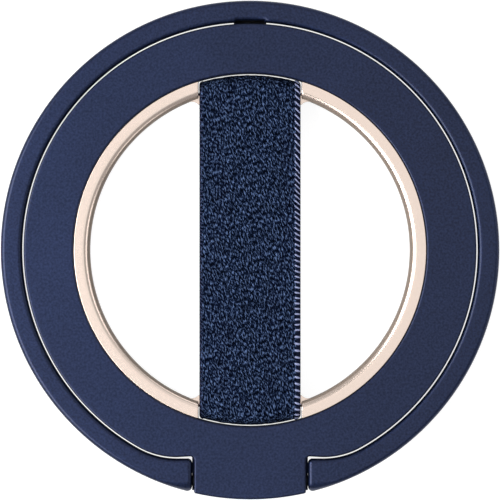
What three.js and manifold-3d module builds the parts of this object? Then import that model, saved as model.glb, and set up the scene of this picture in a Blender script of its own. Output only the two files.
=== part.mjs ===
// A magnetic ring grip for the back of a phone. A round body carries an elastic strap across its open
// middle, for a finger, and a ring around the body folds out on a hinge at the bottom to stand the phone.
// Sizes are millimetres. The back lies at z = 0, +Z points out of the face and +Y away from the hinge.

import * as THREE from 'three';
import { mergeVertices } from 'three/addons/utils/BufferGeometryUtils.js';
import Module from 'manifold-3d';

const wasm = await Module();
wasm.setup();

// Fits and facets
const FIT = 0.05; // between pieces that are glued, pressed or seated
const CIRCLE_FACETS = 72; // round a full turn of a large circle
const SMALL_FACETS = 20; // round a pin, a bore or an edge's full turn
const EDGE_STEPS = 2; // steps across a rounded edge
const OVERRUN = 1; // how far a cutting shape runs past what it cuts

// Radii, from the middle outwards
const HOLE_RADIUS = 20.58; // open middle, inside the trim
const TRIM_WIDTH = 2.04;
const INNER_WALL = 0.7; // cover's wall beside the trim
const TRAY_RIM = 0.4; // rims on the back cover that hold the magnets in place
const MAGNET_WIDTH = 3.68;
const MAGNET_PLAY = 0.1; // round each magnet
const OUTER_WALL = 0.8; // cover's wall beside the gap
const GAP_WIDTH = 0.3; // body to stand ring
const STAND_WIDTH = 2.75;

// Heights, from the back to the face
const PAD_PROUD = 0.3; // pad stands out of the back cover
const PAD_THICKNESS = 0.55;
const BACK_FLOOR = 0.55; // back cover's wall over the pad
const RIM_HEIGHT = 0.8;
const MAGNET_THICKNESS = 2;
const YOKE_THICKNESS = 0.5;
const FACE_THICKNESS = 1; // cover's wall over the magnets
const EDGE_RADIUS = 0.22; // rounded edges of the cover and the stand ring

// Magnets and the pad under them
const MAGNET_COUNT = 16;
const MAGNET_END_MARGIN = 3.5; // degrees from the bend in the body's edge to the first magnet
const PAD_MARGIN_IN = 0.7; // back cover's land inside the pad
const PAD_MARGIN_OUT = 0.9; // back cover's land outside the pad

// Trim
const TRIM_DROP = 0.15; // trim's flat top below the face
const TRIM_SEAT = 1.72; // width of the trim's foot that sits on the back cover
const TRIM_FLAT = 1.12; // width of the flat top
const TRIM_STEP = 0.05; // small step at the flat's inner edge
const LIP_SLOPE = 18; // degrees that the lip falls towards the hole
const LIP_ROUND = 0.38; // rounding between the lip and the wall of the hole

// Strap and the two bars that carry it
const STRAP_WIDTH = 13;
const STRAP_THICKNESS = 1.15;
const STRAP_DROP = 0.35; // strap's top below the face
const STRAP_SIDE_GAP = 0.13; // strap's edge to the ends of the trim
const STRAP_END_GAP = 0.25; // strap's bend to the cover
const BAR_THICKNESS = 1.1;
const BAR_WIDTH = 1.4;
const BAR_FILLET = 1.1; // where a bar runs into the trim

// Hinge
const LUG_WIDTH = 14.36;
const LUG_INNER_CORNER = 0.5; // hollow corner between lug and body
const LUG_OUTER_CORNER = 0.3;
const LUG_GAP = 0.27; // lug to the ends of the stand ring, at the face
const SHOULDER_GAP = 0.07; // lug's rubbing shoulders to the ends of the stand ring
const SHOULDER_DROP = 0.8; // shoulders' top below the face
const STAND_THICKNESS = 3;
const KNUCKLE_DEPTH = 2.84; // hinge axis to the stand ring's inner edge
const FLAT_HALF_LENGTH = 9.4; // straight part of the gap beside the lug
const SWING_CHAMFER = 0.5; // lower inner edge of the stand ring, which swings past the body
const PIN_RADIUS = 0.7;
const PIN_BITE = 1.55; // length of a pin in the stand ring
const PIN_PLAY = 0.05; // pin in its friction sleeve
const SLEEVE_WALL = 0.4;
const SLEEVE_LENGTH = 4.5;
const SLEEVE_INSET = 0.1; // sleeve's end below the shoulder's face
const BORE_END_SPACE = 0.15; // past a pin or a sleeve, at the blind end of its bore

// Closing stop opposite the hinge
const STOP_WIDTH = 4.2;
const STOP_REACH = 1.9; // under the stand ring
const STOP_TAIL = 1; // stop's root in the back cover
const THUMB_FLAT_WIDTH = 3.9; // flat in the stand ring's inner edge, for a fingernail
const THUMB_FLAT_DEPTH = 0.22;

// Places that follow from the sizes above
const trimOuter = HOLE_RADIUS + TRIM_WIDTH;
const coverInner = trimOuter + FIT;
const channelInner = coverInner + INNER_WALL;
const magnetInner = channelInner + FIT + TRAY_RIM + MAGNET_PLAY;
const magnetOuter = magnetInner + MAGNET_WIDTH;
const channelOuter = magnetOuter + MAGNET_PLAY + TRAY_RIM + FIT;
const bodyRadius = channelOuter + OUTER_WALL;
const standInner = bodyRadius + GAP_WIDTH;
const outerRadius = standInner + STAND_WIDTH;

const padGroove = PAD_THICKNESS + FIT;
const backTop = padGroove + BACK_FLOOR;
const coverBottom = backTop + FIT;
const magnetTop = coverBottom + MAGNET_THICKNESS;
const yokeBottom = magnetTop + FIT;
const channelTop = yokeBottom + YOKE_THICKNESS + FIT;
const faceHeight = channelTop + FACE_THICKNESS;

const standBottom = faceHeight - STAND_THICKNESS;
const knuckleRadius = STAND_THICKNESS / 2;
const hingeHeight = standBottom + knuckleRadius;
const lugHalf = LUG_WIDTH / 2;
const standEnd = lugHalf + LUG_GAP;
const shoulderHalf = standEnd - SHOULDER_GAP;
const hingeY = knuckleRadius - Math.sqrt(outerRadius ** 2 - standEnd ** 2);
const bodyFlat = -hingeY - KNUCKLE_DEPTH - GAP_WIDTH; // middle of the body to its straight edge

const slotHalf = STRAP_WIDTH / 2 + STRAP_SIDE_GAP;
const strapOuter = coverInner - STRAP_END_GAP;
const strapTop = faceHeight - STRAP_DROP;
const strapInner = strapOuter - STRAP_THICKNESS;
const barOuter = strapInner - FIT;
const barInner = barOuter - BAR_WIDTH;
const barMiddle = strapTop - STRAP_THICKNESS - FIT - BAR_THICKNESS / 2;
const boreRadius = PIN_RADIUS + PIN_PLAY + SLEEVE_WALL + FIT;

// Solids and booleans

/** A three.js geometry as a manifold solid. */
function solid(geometry) {
  geometry.deleteAttribute('normal');
  geometry.deleteAttribute('uv');
  const merged = mergeVertices(geometry);
  return new wasm.Manifold(new wasm.Mesh({
    numProp: 3,
    vertProperties: merged.attributes.position.array,
    triVerts: merged.index.array,
  }));
}

/** A named three.js mesh of a manifold solid. */
function piece(name, shape, material) {
  const { vertProperties, triVerts } = shape.getMesh();
  const geometry = new THREE.BufferGeometry();
  geometry.setAttribute('position', new THREE.BufferAttribute(vertProperties, 3));
  geometry.setIndex(new THREE.BufferAttribute(triVerts, 1));
  geometry.computeVertexNormals();
  const mesh = new THREE.Mesh(geometry, material);
  mesh.name = name;
  return mesh;
}

/** A box from its lowest to its highest corner. */
function block(low, high) {
  const size = high.map((value, axis) => value - low[axis]);
  const geometry = new THREE.BoxGeometry(...size);
  return solid(geometry.translate(...low.map((value, axis) => value + size[axis] / 2)));
}

/** A round bar of one radius along X, on the hinge axis. */
function hingeRod(radius, from, to) {
  const geometry = new THREE.CylinderGeometry(radius, radius, to - from, SMALL_FACETS);
  geometry.rotateZ(Math.PI / 2);
  return solid(geometry.translate((from + to) / 2, hingeY, hingeHeight));
}

/** A plate of an outline, with both its rims rounded where a radius is given. */
function plate(shape, bottom, top, radius = 0) {
  const geometry = new THREE.ExtrudeGeometry(shape, {
    depth: top - bottom - 2 * radius,
    bevelEnabled: radius > 0,
    bevelThickness: radius,
    bevelSize: radius,
    bevelOffset: -radius,
    bevelSegments: EDGE_STEPS,
  });
  return solid(geometry.translate(0, 0, bottom + radius));
}

/** An outline of radius and height, turned round the Z axis. One that is off the axis is closed first. */
function turned(outline) {
  const points = outline[0].x > 0 ? [...outline, outline[0]] : outline;
  const geometry = new THREE.LatheGeometry(points, CIRCLE_FACETS);
  return solid(geometry.rotateX(Math.PI / 2));
}

// Outlines

/** Points along an arc, as close as the facets of a full circle. */
function arc(x, y, radius, from, to, facets = CIRCLE_FACETS) {
  const steps = Math.max(2, Math.round((Math.abs(to - from) / (2 * Math.PI)) * facets));
  return new THREE.EllipseCurve(x, y, radius, radius, from, to, to < from).getPoints(steps);
}

/** The points of a full circle. */
function circle(radius) {
  return arc(0, 0, radius, 0, 2 * Math.PI).slice(0, -1);
}

/** Points mirrored across the YZ plane, in the order that carries an outline on. */
function mirrored(points) {
  return points.map((point) => new THREE.Vector2(-point.x, point.y)).reverse();
}

/** A sector of a flat ring that leaves the hinge's side open, shortened at both ends by a clearance. */
function openRing(inner, outer, clearance = 0) {
  const from = magnetStart() + clearance / inner;
  const to = Math.PI - from;
  return new THREE.Shape([...arc(0, 0, outer, from, to), ...arc(0, 0, inner, to, from)]);
}

/** The angle at which the magnets start, on the right of the hinge. */
function magnetStart() {
  return bend(0).angle + THREE.MathUtils.degToRad(MAGNET_END_MARGIN);
}

/** The bend on the right of the hinge, where the body's straight edge turns into its circle. */
function bend(offset) {
  const radius = bodyRadius + offset;
  const flat = bodyFlat + offset;
  const x = FLAT_HALF_LENGTH;
  const corner = (radius ** 2 - x ** 2 - flat ** 2) / (2 * (radius - flat));
  return { x, y: corner - flat, corner, radius, angle: Math.atan2(corner - flat, x) };
}

/** The body's edge from the straight's right end, round the top, to its left end. */
function bodyEdge(offset = 0) {
  const { x, y, corner, radius, angle } = bend(offset);
  return [
    ...arc(x, y, corner, -Math.PI / 2, angle),
    ...arc(0, 0, radius, angle, Math.PI - angle).slice(1),
    ...arc(-x, y, corner, Math.PI - angle, 1.5 * Math.PI).slice(1),
  ];
}

/** The lug's outline below the body's straight edge, from left to right. */
function lugEdge() {
  const hollow = LUG_INNER_CORNER;
  const round = LUG_OUTER_CORNER;
  const cornerX = lugHalf - round;
  const cornerY = -Math.sqrt((outerRadius - round) ** 2 - cornerX ** 2);
  const tilt = Math.atan2(cornerY, cornerX);
  const left = [
    ...arc(-lugHalf - hollow, -bodyFlat - hollow, hollow, Math.PI / 2, 0, SMALL_FACETS),
    ...arc(-cornerX, cornerY, round, Math.PI, Math.PI - tilt, SMALL_FACETS),
  ];
  const end = arc(0, 0, outerRadius, Math.PI - tilt, 2 * Math.PI + tilt).slice(1, -1);
  return [...left, ...end, ...mirrored(left)];
}

// Pieces

/** The front cover, with the magnet channel behind its face and the hinge lug at the bottom. */
function frontCover() {
  const outline = new THREE.Shape([...bodyEdge(), ...lugEdge()]);
  outline.holes.push(new THREE.Path(circle(coverInner)));
  const shell = plate(outline, coverBottom, faceHeight, EDGE_RADIUS);
  const channel = plate(openRing(channelInner, channelOuter), coverBottom - OVERRUN, channelTop);
  const boreEnd = shoulderHalf - SLEEVE_INSET - SLEEVE_LENGTH - BORE_END_SPACE;
  return shell
    .subtract(channel)
    .add(shoulders())
    .subtract(hingeRod(boreRadius, boreEnd, shoulderHalf + OVERRUN))
    .subtract(hingeRod(boreRadius, -shoulderHalf - OVERRUN, -boreEnd));
}

/** Raised shoulders on the lug's sides, which the ends of the stand ring rub on. */
function shoulders() {
  const top = faceHeight - SHOULDER_DROP;
  const radius = knuckleRadius - EDGE_RADIUS;
  const root = block(
    [-shoulderHalf, hingeY, hingeHeight - radius],
    [shoulderHalf, -bodyFlat + INNER_WALL, top],
  );
  const above = block(
    [-shoulderHalf - OVERRUN, hingeY - knuckleRadius, top],
    [shoulderHalf + OVERRUN, hingeY + knuckleRadius, faceHeight],
  );
  return hingeRod(radius, -shoulderHalf, shoulderHalf).subtract(above).add(root);
}

/** The window through which the strap passes round a bar, at both ends. */
function strapWindow(radius, bottom, top) {
  const disc = plate(new THREE.Shape(circle(radius)), bottom, top);
  return disc.intersect(block([-slotHalf, -radius - OVERRUN, bottom], [slotHalf, radius + OVERRUN, top]));
}

/** The back cover: a plate with a groove for the pad, rims for the magnets and the closing stop. */
function backCover() {
  const outline = new THREE.Shape(bodyEdge());
  outline.holes.push(new THREE.Path(circle(trimOuter - TRIM_SEAT)));
  const groove = new THREE.Shape(bodyEdge(FIT - PAD_MARGIN_OUT));
  groove.holes.push(new THREE.Path(circle(coverInner + PAD_MARGIN_IN - FIT)));
  const rimTop = backTop + RIM_HEIGHT;
  const innerRim = openRing(channelInner + FIT, channelInner + FIT + TRAY_RIM, FIT);
  const outerRim = openRing(channelOuter - FIT - TRAY_RIM, channelOuter - FIT, FIT);
  return plate(outline, PAD_PROUD, backTop)
    .subtract(strapWindow(coverInner, PAD_PROUD - OVERRUN, backTop + OVERRUN))
    .subtract(plate(groove, PAD_PROUD - OVERRUN, padGroove))
    .add(plate(innerRim, padGroove, rimTop))
    .add(plate(outerRim, padGroove, rimTop))
    .add(closingStop());
}

/** The tab that the closed stand ring rests on. It bridges the gap and rises outside the cover. */
function closingStop() {
  const half = STOP_WIDTH / 2;
  const end = standInner + STOP_REACH;
  const tab = block([-half, bodyRadius - STOP_TAIL, padGroove], [half, end, standBottom - FIT]);
  const clear = plate(new THREE.Shape(bodyEdge(FIT)), backTop, standBottom + OVERRUN);
  return tab.subtract(clear);
}

/** The soft pad in the back cover's groove. It is what touches the phone. */
function gripPad() {
  const outline = new THREE.Shape(bodyEdge(-PAD_MARGIN_OUT));
  outline.holes.push(new THREE.Path(circle(coverInner + PAD_MARGIN_IN)));
  return plate(outline, 0, PAD_THICKNESS);
}

/** The steel yoke that closes the magnets' field on the face side. */
function steelYoke() {
  const outline = openRing(magnetInner, magnetOuter, MAGNET_PLAY);
  return plate(outline, yokeBottom, yokeBottom + YOKE_THICKNESS);
}

/** The angle from one magnet to the next. */
function magnetPitch() {
  return (Math.PI - 2 * magnetStart()) / MAGNET_COUNT;
}

/** One magnet, centred on +X. */
function arcMagnet() {
  const half = magnetPitch() / 2 - MAGNET_PLAY / magnetInner;
  const outline = new THREE.Shape([
    ...arc(0, 0, magnetOuter, -half, half),
    ...arc(0, 0, magnetInner, half, -half),
  ]);
  return plate(outline, coverBottom, magnetTop);
}

/** The trim: two arcs round the hole, joined behind the strap by two bars. */
function trimRing() {
  const top = faceHeight - TRIM_DROP;
  const step = trimOuter - TRIM_FLAT;
  const slope = THREE.MathUtils.degToRad(LIP_SLOPE);
  const roundX = HOLE_RADIUS + LIP_ROUND;
  const roundZ = top - TRIM_STEP - (step - roundX) * Math.tan(slope) - LIP_ROUND / Math.cos(slope);
  const band = turned([
    new THREE.Vector2(trimOuter, coverBottom),
    new THREE.Vector2(trimOuter, top),
    new THREE.Vector2(step, top),
    new THREE.Vector2(step, top - TRIM_STEP),
    ...arc(roundX, roundZ, LIP_ROUND, Math.PI / 2 + slope, Math.PI, SMALL_FACETS),
    new THREE.Vector2(HOLE_RADIUS, coverBottom),
  ]);
  const opening = strapWindow(trimOuter + OVERRUN, coverBottom - OVERRUN, faceHeight);
  const bars = strapBar().add(strapBar().rotate([0, 0, 180]));
  return band.subtract(opening).add(bars);
}

/** The bar at the top. Its back is full round for the strap, and a hollow fillet joins it to the trim. */
function strapBar() {
  const quarter = Math.PI / 2;
  const edge = new THREE.Vector2(slotHalf, Math.sqrt(barInner ** 2 - slotHalf ** 2));
  const centreRadius = HOLE_RADIUS - BAR_FILLET;
  const spread = (centreRadius ** 2 + barInner ** 2 - BAR_FILLET ** 2) / (2 * centreRadius * barInner);
  const end = edge.angle() - Math.acos(spread);
  const centre = new THREE.Vector2(centreRadius, 0).rotateAround(new THREE.Vector2(), end);
  const from = edge.clone().sub(centre).angle();
  const right = [
    ...arc(centre.x, centre.y, BAR_FILLET, from, end, SMALL_FACETS),
    ...arc(0, 0, barOuter, end, quarter),
  ];
  const inner = arc(0, 0, barInner, Math.PI - edge.angle(), edge.angle()).slice(1, -1);
  const outline = new THREE.Shape([...right, ...mirrored(right.slice(0, -1)), ...inner]);
  const bottom = barMiddle - BAR_THICKNESS / 2;
  const bar = plate(outline, bottom, bottom + BAR_THICKNESS);
  return bar.intersect(roundedDisc(barOuter, BAR_THICKNESS / 2));
}

/** A solid disc with a full round rim, of one half height, about the strap's middle plane. */
function roundedDisc(radius, half) {
  const rim = arc(radius - half, barMiddle, half, -Math.PI / 2, Math.PI / 2, SMALL_FACETS);
  return turned([new THREE.Vector2(0, barMiddle - half), ...rim, new THREE.Vector2(0, barMiddle + half)]);
}

/** The elastic strap: one loop round both bars, open at its two long sides. */
function fingerStrap() {
  const innerHalf = BAR_THICKNESS / 2 + FIT;
  const outerHalf = innerHalf + STRAP_THICKNESS;
  const half = STRAP_WIDTH / 2;
  const band = block([-half, -strapOuter, barMiddle - outerHalf], [half, strapOuter, barMiddle + outerHalf]);
  return roundedDisc(strapOuter, outerHalf)
    .intersect(band)
    .subtract(roundedDisc(strapInner, innerHalf));
}

/** The stand ring, cut open for the lug, with rounded knuckles where it turns on the pins. */
function standRing() {
  const outline = new THREE.Shape(circle(outerRadius));
  outline.holes.push(new THREE.Path(bodyEdge(GAP_WIDTH)));
  const gate = block(
    [-standEnd, -outerRadius - OVERRUN, standBottom - OVERRUN],
    [standEnd, 0, faceHeight + OVERRUN],
  );
  const boreLength = PIN_BITE + BORE_END_SPACE;
  const pinBore = PIN_RADIUS + PIN_PLAY;
  return plate(outline, standBottom, faceHeight, EDGE_RADIUS)
    .subtract(gate)
    .subtract(swingRelief())
    .subtract(knuckleWaste())
    .subtract(thumbFlat())
    .subtract(hingeRod(pinBore, standEnd - OVERRUN, standEnd + boreLength))
    .subtract(hingeRod(pinBore, -standEnd - boreLength, -standEnd + OVERRUN));
}

/** What the chamfer on the stand ring's lower inner edge takes away. */
function swingRelief() {
  const geometry = new THREE.ExtrudeGeometry(new THREE.Shape(bodyEdge(GAP_WIDTH)), {
    depth: OVERRUN,
    bevelThickness: SWING_CHAMFER,
    bevelSize: SWING_CHAMFER,
    bevelSegments: 1,
  });
  return solid(geometry.translate(0, 0, standBottom - OVERRUN));
}

/** What is left outside the round knuckles beyond the hinge axis. */
function knuckleWaste() {
  const reach = outerRadius + OVERRUN;
  const outside = block(
    [-reach, -reach, standBottom - OVERRUN],
    [reach, hingeY, faceHeight + OVERRUN],
  );
  return outside.subtract(hingeRod(knuckleRadius, -reach, reach));
}

/** The flat in the stand ring's inner edge, over the closing stop. */
function thumbFlat() {
  const half = THUMB_FLAT_WIDTH / 2;
  return block(
    [-half, bodyRadius, standBottom - OVERRUN],
    [half, standInner + THUMB_FLAT_DEPTH, faceHeight + OVERRUN],
  );
}

/** A hinge pin, pressed into the right end of the stand ring. */
function hingePin() {
  const inner = shoulderHalf - SLEEVE_INSET - SLEEVE_LENGTH;
  return hingeRod(PIN_RADIUS, inner, standEnd + PIN_BITE);
}

/** A friction sleeve in the lug, which grips the right pin. */
function frictionSleeve() {
  const to = shoulderHalf - SLEEVE_INSET;
  const from = to - SLEEVE_LENGTH;
  const hole = hingeRod(PIN_RADIUS + PIN_PLAY, from - OVERRUN, to + OVERRUN);
  return hingeRod(boreRadius - FIT, from, to).subtract(hole);
}

// Materials

const standard = (color, roughness, metalness) =>
  new THREE.MeshStandardMaterial({ color, roughness, metalness });
const navyAluminium = () => standard('#323c5c', 0.5, 0.75);
const champagneMetal = () => standard('#f2dfd0', 0.3, 0.9);
const blackNylon = () => standard('#1b1d24', 0.7, 0);
const navyVelvet = () => standard('#20304a', 1, 0);
const darkSilicone = () => standard('#22262f', 0.85, 0);
const nickelPlate = () => standard('#b9bcc0', 0.3, 1);
const plainSteel = () => standard('#8d9196', 0.4, 1);

// Assembly

const body = new THREE.Group();
body.add(
  piece('front_cover', frontCover(), navyAluminium()),
  piece('back_cover', backCover(), blackNylon()),
  piece('grip_pad', gripPad(), darkSilicone()),
  piece('steel_yoke', steelYoke(), plainSteel()),
  piece('trim_ring', trimRing(), champagneMetal()),
  piece('finger_strap', fingerStrap(), navyVelvet()),
);

for (let index = 0; index < MAGNET_COUNT; index += 1) {
  const number = String(index + 1).padStart(2, '0');
  const magnet = piece(`magnet_${number}`, arcMagnet(), nickelPlate());
  magnet.rotation.z = magnetStart() + (index + 0.5) * magnetPitch();
  body.add(magnet);
}

// The stand turns about its own X axis, which lies on the hinge: a positive angle folds it out.
const stand = new THREE.Group();
const folding = new THREE.Group();
stand.position.set(0, hingeY, hingeHeight);
folding.position.set(0, -hingeY, -hingeHeight);
folding.add(piece('stand_ring', standRing(), navyAluminium()));
stand.add(folding);

for (const [side, mirror] of [['right', false], ['left', true]]) {
  const place = (shape) => (mirror ? shape.mirror([1, 0, 0]) : shape);
  body.add(piece(`friction_sleeve_${side}`, place(frictionSleeve()), plainSteel()));
  folding.add(piece(`hinge_pin_${side}`, place(hingePin()), plainSteel()));
}

const ringGrip = new THREE.Group();
ringGrip.add(body, stand);

export default ringGrip;
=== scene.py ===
"""A magnetic ring grip for a phone, with an elastic finger strap and a fold-out stand ring.

The grip lies on its back pad, face up, and the camera looks straight down on it. Lengths in the classes are
millimetres, and a mesh is scaled to metres when it becomes a piece. +Y points away from the hinge.
"""

import logging
import math
from collections.abc import Callable
from dataclasses import dataclass
from enum import Enum

import bmesh
import bpy
from bmesh.types import BMEdge, BMesh, BMFace, BMVert
from bpy.types import Material, Node, NodeSocket, NodeTree, Object
from mathutils import Matrix, Vector, noise


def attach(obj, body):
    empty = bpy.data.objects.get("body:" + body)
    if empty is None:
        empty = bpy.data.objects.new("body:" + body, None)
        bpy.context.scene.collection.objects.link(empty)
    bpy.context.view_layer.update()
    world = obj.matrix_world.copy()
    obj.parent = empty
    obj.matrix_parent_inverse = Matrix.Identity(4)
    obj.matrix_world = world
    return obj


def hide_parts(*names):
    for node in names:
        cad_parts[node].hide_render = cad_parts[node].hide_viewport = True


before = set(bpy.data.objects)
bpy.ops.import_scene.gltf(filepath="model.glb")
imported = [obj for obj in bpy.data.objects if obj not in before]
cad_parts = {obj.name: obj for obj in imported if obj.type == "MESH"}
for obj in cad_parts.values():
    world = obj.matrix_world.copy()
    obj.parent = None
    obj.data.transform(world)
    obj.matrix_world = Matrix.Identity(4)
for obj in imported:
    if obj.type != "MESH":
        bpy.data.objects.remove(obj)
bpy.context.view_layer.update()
LOG = logging.getLogger("ring_grip")

MM = 0.001
WELD = 0.002  # vertices nearer than this are one vertex
LARGE_ARC = 1.5  # degrees per facet on the large circles
BEND_ARC = 3.0  # degrees per facet on the bends beside the hinge
SMALL_ARC = 15.0  # degrees per facet on pins, bores and tight corners
SHARP = 0.5  # radians, the least bend of an edge that gets rounded
WALL = 0.35  # a face whose normal has a smaller Z than this stands upright


class Operation(Enum):
    """What a tool shape does to the shape that it meets."""

    CUT = "DIFFERENCE"
    JOIN = "UNION"


class Body(Enum):
    """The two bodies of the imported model."""

    GRIP = "body"
    STAND = "stand"


# Shapes


class Pen:
    """Draws an outline in the XY plane of its own mesh, one stroke after another."""

    def __init__(self, x: float, y: float) -> None:
        """Puts the pen down at a point."""
        self.mesh = bmesh.new()
        self.tip = self.mesh.verts.new((x, y, 0.0))

    def line(self, x: float, y: float) -> "Pen":
        """Draws a straight stroke to a point."""
        self.tip = bmesh.ops.extrude_vert_indiv(self.mesh, verts=[self.tip])["verts"][0]
        self.tip.co = (x, y, 0.0)
        return self

    def arc(self, x: float, y: float, degrees: float, facet: float = LARGE_ARC) -> "Pen":
        """Turns the pen about a centre.

        Args:
            x: The centre's X.
            y: The centre's Y.
            degrees: How far it turns, positive anticlockwise.
            facet: Degrees per straight facet.

        Returns:
            The pen, for the next stroke.
        """
        made = bmesh.ops.spin(
            self.mesh,
            geom=[self.tip],
            cent=(x, y, 0.0),
            axis=(0.0, 0.0, 1.0),
            angle=math.radians(degrees),
            steps=max(2, round(abs(degrees) / facet)),
        )
        self.tip = next(item for item in made["geom_last"] if isinstance(item, BMVert))
        return self

    def plate(self, bottom: float, top: float) -> BMesh:
        """Closes the outline, adds its mirror image across the YZ plane, and turns the two into one plate.

        Args:
            bottom: The plate's lower height.
            top: The plate's upper height.

        Returns:
            The plate's mesh, closed.
        """
        mesh = self.mesh
        weld(mesh)
        bmesh.ops.edgeloop_fill(mesh, edges=mesh.edges[:])
        mirror(mesh)
        for face in mesh.faces:
            if face.normal.z > 0:
                face.normal_flip()
        bmesh.ops.translate(mesh, verts=mesh.verts[:], vec=(0.0, 0.0, bottom))
        made = bmesh.ops.extrude_face_region(mesh, geom=mesh.faces[:], use_keep_orig=True)
        lifted = [item for item in made["geom"] if isinstance(item, BMVert)]
        bmesh.ops.translate(mesh, verts=lifted, vec=(0.0, 0.0, top - bottom))
        turn_outwards(mesh)
        return mesh


def weld(mesh: BMesh) -> None:
    """Merges vertices that lie in one place."""
    bmesh.ops.remove_doubles(mesh, verts=mesh.verts[:], dist=WELD)


def whole(mesh: BMesh) -> list[BMVert | BMEdge | BMFace]:
    """All that a mesh is made of."""
    return mesh.verts[:] + mesh.edges[:] + mesh.faces[:]


def turn_outwards(mesh: BMesh) -> None:
    """Turns all faces outwards."""
    bmesh.ops.recalc_face_normals(mesh, faces=mesh.faces[:])


def mirror(mesh: BMesh) -> None:
    """Adds a shape's mirror image across the YZ plane, welded to it, and turns all faces outwards."""
    bmesh.ops.mirror(mesh, geom=whole(mesh), matrix=Matrix.Identity(4), merge_dist=WELD, axis="X")
    weld(mesh)
    turn_outwards(mesh)


def rotated(mesh: BMesh, degrees: float, axis: str) -> None:
    """Turns a whole mesh about one of its axes."""
    bmesh.ops.rotate(mesh, verts=mesh.verts[:], cent=(0, 0, 0), matrix=Matrix.Rotation(math.radians(degrees), 3, axis))


def rim_edges(mesh: BMesh, place: float, axis: int = 2) -> list[BMEdge]:
    """The edges round the faces that lie at one height, or at one place along another axis."""
    return [
        edge
        for edge in mesh.edges
        if all(abs(vert.co[axis] - place) < WELD for vert in edge.verts) and edge.calc_face_angle(0.0) > SHARP
    ]


def rounded(mesh: BMesh, edges: list[BMEdge], radius: float, segments: int = 4) -> None:
    """Rounds edges, or chamfers them where there is one segment."""
    width = {"offset": radius, "offset_type": "OFFSET", "clamp_overlap": False}
    bmesh.ops.bevel(mesh, geom=edges, affect="EDGES", segments=segments, profile=0.5, material=-1, **width)


def block(low: tuple[float, float, float], high: tuple[float, float, float]) -> BMesh:
    """A box from its lowest to its highest corner."""
    mesh = bmesh.new()
    middle = (Vector(low) + Vector(high)) / 2
    size = Vector(high) - Vector(low)
    place = Matrix.Translation(middle) @ Matrix.Diagonal((*size, 1.0))
    bmesh.ops.create_cube(mesh, size=1.0, matrix=place)
    return mesh


def hinge_rod(radius: float, start: float, end: float) -> BMesh:
    """A round bar along X on the hinge axis, from one X to another."""
    mesh = bmesh.new()
    place = Matrix.Translation(((start + end) / 2, PLAN.hinge_y, PLAN.hinge_z)) @ Matrix.Rotation(math.pi / 2, 4, "Y")
    size = {"radius1": radius, "radius2": radius, "depth": end - start}
    bmesh.ops.create_cone(mesh, cap_ends=True, segments=48, matrix=place, **size)
    return mesh


def bores(radius: float, near: float, far: float) -> list[tuple[Operation, BMesh]]:
    """Cuts two holes on the hinge axis, one on each side, between two distances from the middle."""
    return [(Operation.CUT, hinge_rod(radius, *sorted((side * near, side * far)))) for side in (-1, 1)]


def as_object(mesh: BMesh, name: str) -> Object:
    """Puts a mesh into the scene as an object and frees it."""
    data = bpy.data.meshes.new(name)
    mesh.to_mesh(data)
    mesh.free()
    made = bpy.data.objects.new(name, data)
    bpy.context.scene.collection.objects.link(made)
    return made


def combined(base: BMesh, tools: list[tuple[Operation, BMesh]]) -> BMesh:
    """Cuts and joins closed shapes in the order given.

    Args:
        base: The shape to work on.
        tools: What to do and the shape to do it with.

    Returns:
        The new shape.
    """
    part = as_object(base, "part")
    objects = [part]
    for operation, shape in tools:
        tool = as_object(shape, "tool")
        objects.append(tool)
        step = part.modifiers.new("step", "BOOLEAN")
        step.operation = operation.value
        step.object = tool
        step.solver = "EXACT"
    evaluated = part.evaluated_get(bpy.context.evaluated_depsgraph_get())
    result = bmesh.new()
    result.from_mesh(evaluated.to_mesh())
    evaluated.to_mesh_clear()
    for item in objects:
        data = item.data
        bpy.data.objects.remove(item)
        bpy.data.meshes.remove(data)
    return result


def piece(
    mesh: BMesh,
    name: str,
    materials: tuple[Material, ...],
    second: Callable[[BMFace], bool] | None = None,
    crease: float = 40.0,
) -> Object:
    """Turns a mesh in millimetres into a finished piece in metres.

    Args:
        mesh: The shape, which is freed.
        name: The piece's name.
        materials: Its finish, and a second one if some faces have another.
        second: Whether a face has the second finish.
        crease: Edges that bend by more than this many degrees stay sharp.

    Returns:
        The piece, with smooth faces and shading that keeps its flats flat.
    """
    for face in mesh.faces:
        face.smooth = True
        face.material_index = int(second is not None and second(face))
    for edge in mesh.edges:
        edge.smooth = edge.calc_face_angle(0.0) < math.radians(crease)
    bmesh.ops.scale(mesh, verts=mesh.verts[:], vec=(MM, MM, MM))
    made = as_object(mesh, name)
    for material in materials:
        made.data.materials.append(material)
    shading = made.modifiers.new("even shading", "WEIGHTED_NORMAL")
    shading.keep_sharp = True
    return made


# Sizes that the pieces share


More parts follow.
